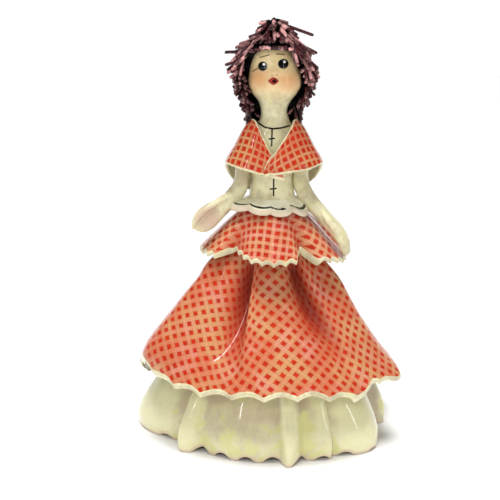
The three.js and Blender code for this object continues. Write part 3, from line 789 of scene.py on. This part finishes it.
walls = np.stack([ring + k, ring + beside, ring + SIDES + beside, ring + SIDES + k], axis=-1)
one_strand = [*walls.reshape(-1, 4).tolist(), k[::-1].tolist(), (last + k).tolist()]
starts = range(0, len(root) * (last + SIDES), last + SIDES)
faces = [[start + corner for corner in face] for start in starts for face in one_strand]
# strands lower on the cap are darker: their dark root zone reaches further and their tint is darker
lower_is_darker = 0.55 + 0.45 * smooth((root[:, 2] - 232) / 26)
from_root = length[:, None] * ALONG * lower_is_darker[:, None]
from_root[FIRST : FIRST + FRINGE] = 6
from_root[FIRST + FRINGE : -1] *= 0.5
tint = rng.uniform(0, 1, len(root)) * (0.4 + 0.6 * smooth((root[:, 2] - 238) / 36))
tint[-1] = 0
marks = {"tint": tint[:, None, None], "from_root": from_root[..., None]}
hair_strands = add_mesh("hair_strands", points, faces, marks)
print("hair:", len(root), "strands")

# %% [markdown]
# ## Glazes as sums
#
# A glaze's colour changes with its thickness, its paint and the shape beneath it, so its nodes are
# mostly arithmetic on masks. Wiring that by hand is slow to read. One small class wraps a socket
# and lets masks be added, multiplied and taken from 1 like numbers, and `painted` lays paints over a
# colour through such masks.

# %% A socket that does arithmetic
def operator(operation, reflected=False):
    """A method that adds a node of arithmetic."""

    def method(wire, *others):
        terms = (*others, wire) if reflected else (wire, *others)
        return wire.node("ShaderNodeMath", {"operation": operation}, dict(enumerate(terms)))

    return method


class Wire:
    """A socket in a glaze's node tree. Arithmetic on it adds the nodes that work it out."""

    def __init__(self, tree, socket=None):
        self.tree, self.socket = tree, socket

    def node(self, kind, settings=None, inputs=None, output=0):
        """Adds a node: first its settings, then the values or links of its sockets."""
        made = self.tree.nodes.new(kind)
        for key, value in (settings or {}).items():
            setattr(made, key, value)
        for key, value in (inputs or {}).items():
            if isinstance(value, Wire):
                self.tree.links.new(value.socket, made.inputs[key])
            else:
                made.inputs[key].default_value = value
        return Wire(self.tree, made.outputs[output])

    __add__ = __radd__ = operator("ADD")
    __mul__ = __rmul__ = operator("MULTIPLY")
    __sub__, __rsub__ = operator("SUBTRACT"), operator("SUBTRACT", reflected=True)
    __truediv__, __pow__ = operator("DIVIDE"), operator("POWER")
    __mod__, __floor__ = operator("FLOORED_MODULO"), operator("FLOOR")
    __abs__, most, least = operator("ABSOLUTE"), operator("MAXIMUM"), operator("MINIMUM")

    def eased(self, start, end):
        """0 below start, 1 above end, smooth between."""
        settings = {"interpolation_type": "SMOOTHSTEP"}
        return self.node("ShaderNodeMapRange", settings, {0: self, 1: start, 2: end})

    def axis(self, number):
        """One part of a vector: 0 across, 1 back, 2 up."""
        return self.node("ShaderNodeSeparateXYZ", None, {"Vector": self}, number)


def painted(colour, *coats):
    """A colour under coats of paint, each one a mask and its paint."""
    for mask, paint in coats:
        colour = mask.node("ShaderNodeMix", {"data_type": "RGBA"}, {0: mask, 6: colour, 7: paint}, 2)
    return colour


def rgb(red, green, blue):
    """A display colour of 0 to 255, as the shader's linear one."""
    parts = [c / 255 for c in (red, green, blue)]
    return (*[p / 12.92 if p < 0.04045 else ((p + 0.055) / 1.055) ** 2.4 for p in parts], 1.0)


print("a middle grey is", round(rgb(128, 128, 128)[0], 3), "to the shader")

# %% [markdown]
# ## A glossy coat for every glaze
#
# All the glazes are a thin layer of glass over coloured clay. The shader's coat is that glass. Its
# surface isn't flat: it pulls back from edges and pools in hollows, so a slow noise tips the normals
# and breaks the reflections of the lamps.

# %% Start a glaze
def start_glaze(name, roughness=0.22, coat=0.8, gloss=0.15):
    """A new material, and a wire with each point's place in millimetres from the waist's axis."""
    glaze = bpy.data.materials.new(name)
    glaze.use_nodes = True
    shader = glaze.node_tree.nodes["Principled BSDF"]
    shader.inputs["Roughness"].default_value = roughness
    shader.inputs["Coat Weight"].default_value = coat
    shader.inputs["Coat Roughness"].default_value = 0.04
    shader.inputs["Specular IOR Level"].default_value = gloss
    metres = Wire(glaze.node_tree).node("ShaderNodeTexCoord", output=3)
    scaled = metres.node("ShaderNodeVectorMath", {"operation": "SCALE"}, {0: metres, "Scale": 1 / MM})
    settings, inputs = {"operation": "SUBTRACT"}, {0: scaled, 1: tuple(WAIST)}
    return glaze, scaled.node("ShaderNodeVectorMath", settings, inputs)


def noise(place, size, detail=2.0, rough=0.5):
    """Cloudy noise whose patches are about `size` millimetres across."""
    inputs = {"Vector": place, "Scale": 1 / size, "Detail": detail, "Roughness": rough}
    return place.node("ShaderNodeTexNoise", None, inputs)


def mark(place, name):
    """The number that the mesh keeps on each point under this name."""
    return place.node("ShaderNodeAttribute", {"attribute_name": name}, None, 2)


def finish_glaze(glaze, colour, height, strength=0.5):
    """Feeds a colour and a height in millimetres to a glaze."""
    shader = glaze.node_tree.nodes["Principled BSDF"]
    inputs = {"Strength": strength, "Distance": MM, "Height": height}
    normal = colour.node("ShaderNodeBump", None, inputs)
    for name, wire in (("Base Color", colour), ("Normal", normal)):
        glaze.node_tree.links.new(wire.socket, shader.inputs[name])


# %% [markdown]
# ## Cream glaze
#
# The cream is never one colour. It is yellower where it ran thick, greyer and pinker where it is thin
# over an edge and the clay shows through, and it carries small brownish stains and fine specks.
# Petticoat, body, arms and the bare edges of the checked slabs share this recipe.

# %% Mix the cream
CREAM, SHADED_CREAM, LIT_CREST_CREAM = rgb(224, 217, 178), rgb(198, 186, 152), rgb(236, 232, 184)
POOLED, BARE, VALLEY_SHADE_CREAM = rgb(218, 214, 146), rgb(222, 198, 170), rgb(196, 178, 148)
STAIN, SPECK = rgb(172, 154, 122), rgb(150, 132, 100)


def cream(place, *coats):
    """The cream glaze's colour, with coats of paint on it."""
    return painted(
        CREAM,
        (noise(place, 16, 3).eased(0.42, 0.66), SHADED_CREAM),
        (noise(place, 11, 4, 0.6).eased(0.52, 0.72) * 0.7, POOLED),
        (noise(place, 4, 5, 0.7).eased(0.48, 0.7) * 0.34, STAIN),
        (noise(place, 0.9, 1).eased(0.71, 0.78) * 0.35, SPECK),
        *coats,
    )


def ripple(place):
    """The slow waves of a brushed-on glaze and the finer grain of the clay under it."""
    return noise(place, 9, 2) * 0.9 + noise(place, 2.2, 2) * 0.12


glaze, place = start_glaze("petticoat_glaze")
rim, crest = mark(place, "rim"), mark(place, "crest")
clouds = noise(place, 14, 3)
# the valleys between the ruffles and the top under the skirt are painted darker: painted shade,
# broken up by cloudy noise
valley_shade_and_clouds = 1 - (crest * 0.9 + clouds * 0.8 - rim * 0.006).eased(0.45, 0.95)
on_slope = 1 - abs(crest - 0.4).eased(0.2, 0.7)
ran = (clouds + noise(place, 6, 2) * 0.5 - rim * 0.004).eased(0.68, 0.84) * on_slope
edge = 1 - abs(rim + 0.4 - noise(place, 5)).eased(0.5, 2.2)
# the ruffles' crests are painted lighter: painted light on their ridges
coats = (crest.eased(0.3, 0.9) * 0.75, LIT_CREST_CREAM), (valley_shade_and_clouds * 0.85, VALLEY_SHADE_CREAM)
coats += (ran * 0.9, POOLED), (edge * 0.75, BARE)
finish_glaze(glaze, cream(place, *coats), ripple(place))
settle(petticoat, glaze)

# %% [markdown]
# The frill's top is painted a lighter cream, painted light against the shade of the shawl above it,
# and it has a thin black line, drawn by hand along every lobe. The line follows the rim, so it is a
# narrow band of the rim mark, and a noise thins it here and there. The turned-down edge and the
# underside are painted darker: painted shade.

# %% Glaze the frill
FRILL_PAINTED_LIGHT, NEAR_RIM, FRILL_UNDER_SHADE = rgb(252, 250, 224), rgb(236, 224, 200), rgb(206, 188, 160)
INK = rgb(18, 16, 14)
glaze, place = start_glaze("frill_glaze")
rim = mark(place, "rim")
pen = 0.55 + noise(place, 7) * 0.6
colour = painted(
    NEAR_RIM,
    # the top away from the rim is painted lighter: painted light against the shade of the shawl
    (rim.eased(0.5, 3), FRILL_PAINTED_LIGHT),
    (noise(place, 7, 3).eased(0.5, 0.75) * 0.5, CREAM),
    # the turned-down edge and the underside are painted darker: painted shade
    ((1 - rim.eased(-0.9, 0.6)) * 0.6, FRILL_UNDER_SHADE),
    ((1 - abs(rim - 2.6).eased(pen * 0.6, pen * 1.2)) * noise(place, 9).eased(0.36, 0.42), INK),
)
finish_glaze(glaze, colour, ripple(place))
settle(waist_frill, glaze)

# %% [markdown]
# ## The checked glaze
#
# Deep red squares sit on a salmon ground, and the ground between them reads as woven strips: at each
# crossing one strip runs over the other, and they swap from one crossing to the next. The check map
# counts squares, so its fraction gives the place within one square and its whole part says which
# strip is on top. The colour drifts from pink to tan, and goes deep red in the folds: partly glaze
# that ran together there, partly painted shade.

# %% Paint the check
SALMON, TAN, PINK = rgb(200, 114, 80), rgb(202, 146, 100), rgb(212, 138, 118)
CROSSING, STRIP_LINE = rgb(236, 178, 144), rgb(164, 92, 56)
RED, DEEP_RED, SPECKLE = rgb(196, 40, 14), rgb(166, 20, 5), rgb(124, 52, 30)
POOLED_AND_SHADED_RED, POOLED_AND_SHADED_MAGENTA = rgb(172, 46, 22), rgb(84, 8, 14)
SIDE_BLUR, LINE_OFF = 0.035, 0.02


def checked(place, half_square, painted_highlight):
    """The colour of the checked slab, and where its squares are."""
    flat = place.node("ShaderNodeUVMap", {"uv_map": "check"})
    across, upward = flat.axis(0), flat.axis(1)
    unsteady = (noise(place, 1.5, 2) - 0.5) * 0.14
    off = [abs(along % 1 - 0.5) + unsteady for along in (across, upward)]
    start, end = half_square - SIDE_BLUR, half_square + SIDE_BLUR
    in_column, in_row = [1 - far.eased(start, end) for far in off]
    square, crossing = in_column * in_row, (1 - in_column) * (1 - in_row)
    parity = (math.floor(across + 0.5) + math.floor(upward + 0.5)) % 2
    sides = [1 - abs(far - half_square - LINE_OFF).eased(0.012, 0.045) for far in off]
    lines = (sides[0] * (1 - crossing * parity)).most(sides[1] * (1 - crossing * (1 - parity)))
    colour = painted(
        SALMON,
        (noise(place, 26, 2).eased(0.42, 0.62), TAN),
        (noise(place, 14, 3).eased(0.5, 0.7) * 0.8 + painted_highlight, PINK),
        (crossing * (0.1 + painted_highlight), CROSSING),
        (lines * 0.45, STRIP_LINE),
        (square * 0.94, painted(RED, (noise(place, 3, 2).eased(0.35, 0.7), DEEP_RED))),
        (noise(place, 1.2, 4, 0.7).eased(0.45, 0.7) * 0.22, SPECKLE),
    )
    return colour, square


def checked_glaze(name, half_square, border, folded=True, painted_highlight=0.0):
    glaze, place = start_glaze(name, 0.24, 0.6)
    colour, square = checked(place, half_square, painted_highlight)
    if folded:
        fold = mark(place, "fold")
        # the folds go deep red: glaze that pooled there, and painted shade
        pooling_and_shade = (fold.eased(0.1, 0.75) * 0.7, POOLED_AND_SHADED_RED), (fold.eased(0.4, 1.0) * 0.58, POOLED_AND_SHADED_MAGENTA)
        colour = painted(colour, *pooling_and_shade)
    unsteady = (noise(place, 4, 2) - 0.5) * 1.1
    on_face = (mark(place, "rim") + unsteady).eased(border, border + 0.35)
    finish_glaze(glaze, cream(place, (on_face, colour)), ripple(place) - square * 0.06)
    return glaze


settle(skirt, checked_glaze("skirt_check", 0.245, border=0.5))
# the peplum's ground is painted paler: a painted highlight
settle(peplum, checked_glaze("peplum_check", 0.27, border=0.4, painted_highlight=0.25))
settle(shawl, checked_glaze("shawl_check", 0.315, border=1.0, folded=False))

# %% [markdown]
# ## The painted face, necklace and crosses
#
# Face, necklace and crosses are brush strokes under the glaze, and a few dabs on the face are
# painted shade in the mouth and nostrils and a painted highlight on each eye. An image texture would
# need a file, and strokes stored on the mesh would be as coarse as its points, so each is drawn in
# the glaze from a few measured places on the front: a dab is an ellipse, a stroke is the distance to
# a line between two points.

# %% Brushes
def dab(centre, size, soft=0.12):
    """A round brush dab on the front: 1 inside an ellipse, 0 outside."""
    across, upward = (x - centre[0]) / size[0], (z - centre[1]) / size[1]
    return (1 - ((across * across + upward * upward) ** 0.5).eased(1 - soft, 1 + soft)) * front


def strokes(*lines):
    """Strokes of one brush on the front, each one from a start to an end at a width."""
    drawn = None
    for start, end, width in lines:
        run, rise = end[0] - start[0], end[1] - start[1]
        along = ((x - start[0]) * run + (z - start[1]) * rise) / (run * run + rise * rise)
        along = along.most(0.0).least(1.0)
        off_x, off_z = x - start[0] - along * run, z - start[1] - along * rise
        off = off_x * off_x + off_z * off_z
        line = 1 - off.eased((0.6 * width / 2) ** 2, (1.3 * width / 2) ** 2)
        drawn = drawn.most(line) if drawn else line
    return drawn * front


glaze, place = start_glaze("body_glaze", 0.2, 0.6)
x, y, z = [place.axis(number) for number in range(3)]
front = 1 - y.eased(-4, -1)

# %% Paint the body
BLACK, LIP, MOUTH_SHADE = rgb(6, 5, 5), rgb(150, 38, 14), rgb(30, 6, 5)
BLUSH, IRIS, WARM = rgb(206, 140, 84), rgb(16, 23, 30), rgb(228, 196, 138)
GLINT, NOSTRIL_SHADE, BROW = rgb(250, 250, 246), rgb(150, 98, 62), rgb(80, 52, 38)
FAINT_LINES = [
    ((-9.1, 273.3), (-2.8, 275.0), 0.9), ((2.4, 275.6), (7.9, 275.3), 0.9),
    ((-14.0, 263.7), (-10.4, 265.9), 0.75),
]  # the brows and a line beside the eye
CROSSES = [
    ((-0.3, 223.6), (-0.6, 211.4), 1.15), ((-2.3, 216.3), (1.2, 216.7), 1.2),
    ((1.1, 190.0), (1.0, 175.7), 1.2), ((-1.3, 180.2), (2.7, 180.6), 1.2),
]
NECKLACE = [(-10.4, 227.0), (-5.4, 224.3), (0.3, 223.4), (6.0, 223.9), (11.8, 225.0)]
CHAIN = [(start, end, 1.2) for start, end in zip(NECKLACE, NECKLACE[1:])]
lips = (abs(x - MOUTH[0]) / 3.8) ** 1.3 + (abs(z - MOUTH[1]) / 2.9) ** 1.4
# two brown dabs under the nose: painted shade in the nostrils
nostril_shade = dab((-0.6, 261.3), (0.9, 0.6), 0.5).most(dab((2.5, 261.5), (0.9, 0.6), 0.5))
coats = [
    ((z + noise(place, 12) * 8).eased(246, 256) * 0.6, WARM),
    (dab((-10.6, 258.2), (7.0, 6.2), 0.8) * 0.66, BLUSH),
    (dab((11.4, 256.6), (7.0, 6.2), 0.8) * 0.66, BLUSH),
    (dab((0.8, 259.5), (6.5, 5.5), 0.8) * 0.32, BLUSH),
    (nostril_shade * 0.6, NOSTRIL_SHADE),
    ((1 - lips.eased(0.85, 1.1)) * front, LIP),
    # a dark dab inside the open mouth: painted shade
    (dab((1.0, 257.3), (1.5, 1.3), 0.4) * 0.9, MOUTH_SHADE),
]
for (at, height), wide, tall in ((LEFT_EYE, 3.3, 3.2), (RIGHT_EYE, 3.8, 3.4)):
    pupil = dab((at + 0.5, height + 0.4), (0.74 * wide, 0.76 * tall))
    iris = dab((at, height), (0.84 * wide, 0.84 * tall)) * (1 - pupil)
    # a white glint on each eye: a painted highlight
    glint = dab((at + 0.8, height + 1.3), (0.95, 0.85), 0.25)
    coats += [(dab((at, height), (wide, tall)), BLACK), (iris, IRIS), (glint, GLINT)]
coats += [(strokes(*FAINT_LINES) * 0.8, BROW), (strokes(*CROSSES, *CHAIN), BLACK)]
finish_glaze(glaze, cream(place, *coats), ripple(place), 0.35)
settle(body, glaze)

# %% [markdown]
# The arms wear the plain cream. The open palm was wiped thin and shows the pinkish clay.

# %% Glaze the arms
PALM, WIPED = (-47.0, -22.0, 160.0), rgb(202, 172, 150)
glaze, place = start_glaze("arm_glaze")
palm = place.node("ShaderNodeVectorMath", {"operation": "DISTANCE"}, {0: place, 1: PALM}, 1)
finish_glaze(glaze, cream(place, ((1 - palm.eased(5, 13)) * 0.8, WIPED)), ripple(place), 0.4)
for arm in arms:
    settle(arm, glaze)

# %% [markdown]
# ## Hair glazes
#
# The cap is a dull black, worn brownish in places. The strands were brushed with a thin mauve glaze
# that caught their ends and left the gaps black, so their colour hangs on the distance from the
# root; that black near the roots is also painted shade between the strands. Every strand has its
# own tint, darker lower down on the cap.

# %% Glaze the hair
SOOT, WORN_SOOT, GAP_BLACK_AND_SHADE = rgb(5, 4, 4), rgb(40, 22, 24), rgb(8, 4, 4)
PALE_MAUVE, DARK_MAUVE, WORN_MAUVE = rgb(230, 170, 166), rgb(74, 34, 38), rgb(30, 12, 14)
glaze, place = start_glaze("cap_glaze", 0.3, 0.04, gloss=0.05)
worn = noise(place, 6, 3).eased(0.58, 0.75) * 0.5
finish_glaze(glaze, painted(SOOT, (worn, WORN_SOOT)), ripple(place))
settle(hair_cap, glaze)

glaze, place = start_glaze("strand_glaze", 0.32, 0.5)
colour = painted(
    DARK_MAUVE,
    (mark(place, "tint").eased(0.2, 1.0), PALE_MAUVE),
    (noise(place, 4.5, 2).eased(0.5, 0.64) * 0.8, WORN_MAUVE),
    # black near the root: the black under the mauve, and painted shade between the strands
    (1 - (mark(place, "from_root") + noise(place, 4) * 3).eased(3.2, 6.0), GAP_BLACK_AND_SHADE),
)
finish_glaze(glaze, colour, noise(place, 1.3, 2) * 0.5, 0.6)
settle(hair_strands, glaze)

# %% [markdown]
# ## Floor, lamps and camera
#
# The figurine stands on a plain white table. A wide sun from nearly overhead lights the whole table
# evenly, so it stays white up to the horizon and still takes a soft shadow, and a box in front
# fills the folds. Both are kept out of the reflections: four narrow strips put long thin ones on
# the glaze instead. The sky is white near the horizon and dark above. Table and lamps are placed in
# metres. The camera stands level with the head and looks down a little.

# %% Lay the table
FLOOR = 6.0
floor_mesh = bpy.data.meshes.new("table")
corners = [(-FLOOR, -FLOOR, 0), (FLOOR, -FLOOR, 0), (FLOOR, FLOOR, 0), (-FLOOR, FLOOR, 0)]
floor_mesh.from_pydata(corners, [], [(0, 1, 2, 3)])
floor = add_object("table", floor_mesh)
glaze, place = start_glaze("table_white", 0.7, 0.0)
white = painted(rgb(249, 249, 249), (noise(place, 60, 2), rgb(251, 251, 251)))
finish_glaze(glaze, white, noise(place, 2, 2) * 0.02, 0.1)
floor_mesh.materials.append(glaze)

# %% Hang the lamps
AIM = Vector((0, 0, 0.15))
STRIPS = {
    "left_strip": ((-0.55, -0.85, 0.7), 0.9, (0.03, 0.5)),
    "top_left_strip": ((-0.32, -0.3, 1.15), 0.8, (0.02, 0.45)),
    "top_right_strip": ((0.3, -0.34, 1.1), 0.6, (0.02, 0.4)),
    "right_strip": ((0.75, -0.65, 0.55), 0.7, (0.025, 0.5)),
}


def lamp(name, spot, energy, size=None):
    """A lamp aimed at the figurine: a box of a size, or a sun without one."""
    light = bpy.data.lights.new(name, "AREA" if size else "SUN")
    light.energy = energy
    if size:
        light.shape, light.size, light.size_y = "RECTANGLE", *size
    holder = add_object(name, light)
    holder.location = spot
    holder.rotation_euler = (AIM - Vector(spot)).to_track_quat("-Z", "Y").to_euler()
    return holder


sun = lamp("sun", (-0.03, -0.02, 1.6), 3.25)
sun.data.angle = math.radians(26)
front_box = lamp("front_box", (-0.1, -1.25, 0.95), 4.8, (0.6, 0.4))
sun.visible_glossy = front_box.visible_glossy = False
for name, settings in STRIPS.items():
    lamp(name, *settings)
world = bpy.data.worlds.new("studio")
bpy.context.scene.world = world
world.use_nodes = True
above = Wire(world.node_tree).node("ShaderNodeTexCoord", output=0).axis(2)
brightness = 1.05 - above.eased(0.14, 0.24)
sky = world.node_tree.nodes["Background"]
sky.inputs["Color"].default_value = (1, 1, 1, 1)
world.node_tree.links.new(brightness.socket, sky.inputs["Strength"])
bpy.context.scene.view_settings.view_transform = "Standard"

# %% Set the camera
EYE_POINT, PITCH, YAW = np.array([-7.5, -650, 290.0]), 13.72, 0.773
camera = add_object("camera", bpy.data.cameras.new("camera"))
camera.data.lens = 64.06
camera.location = (EYE_POINT + WAIST) * MM
camera.rotation_euler = (math.radians(90 - PITCH), 0, math.radians(YAW))
bpy.context.scene.camera = camera
print("camera at", [round(v, 3) for v in camera.location])
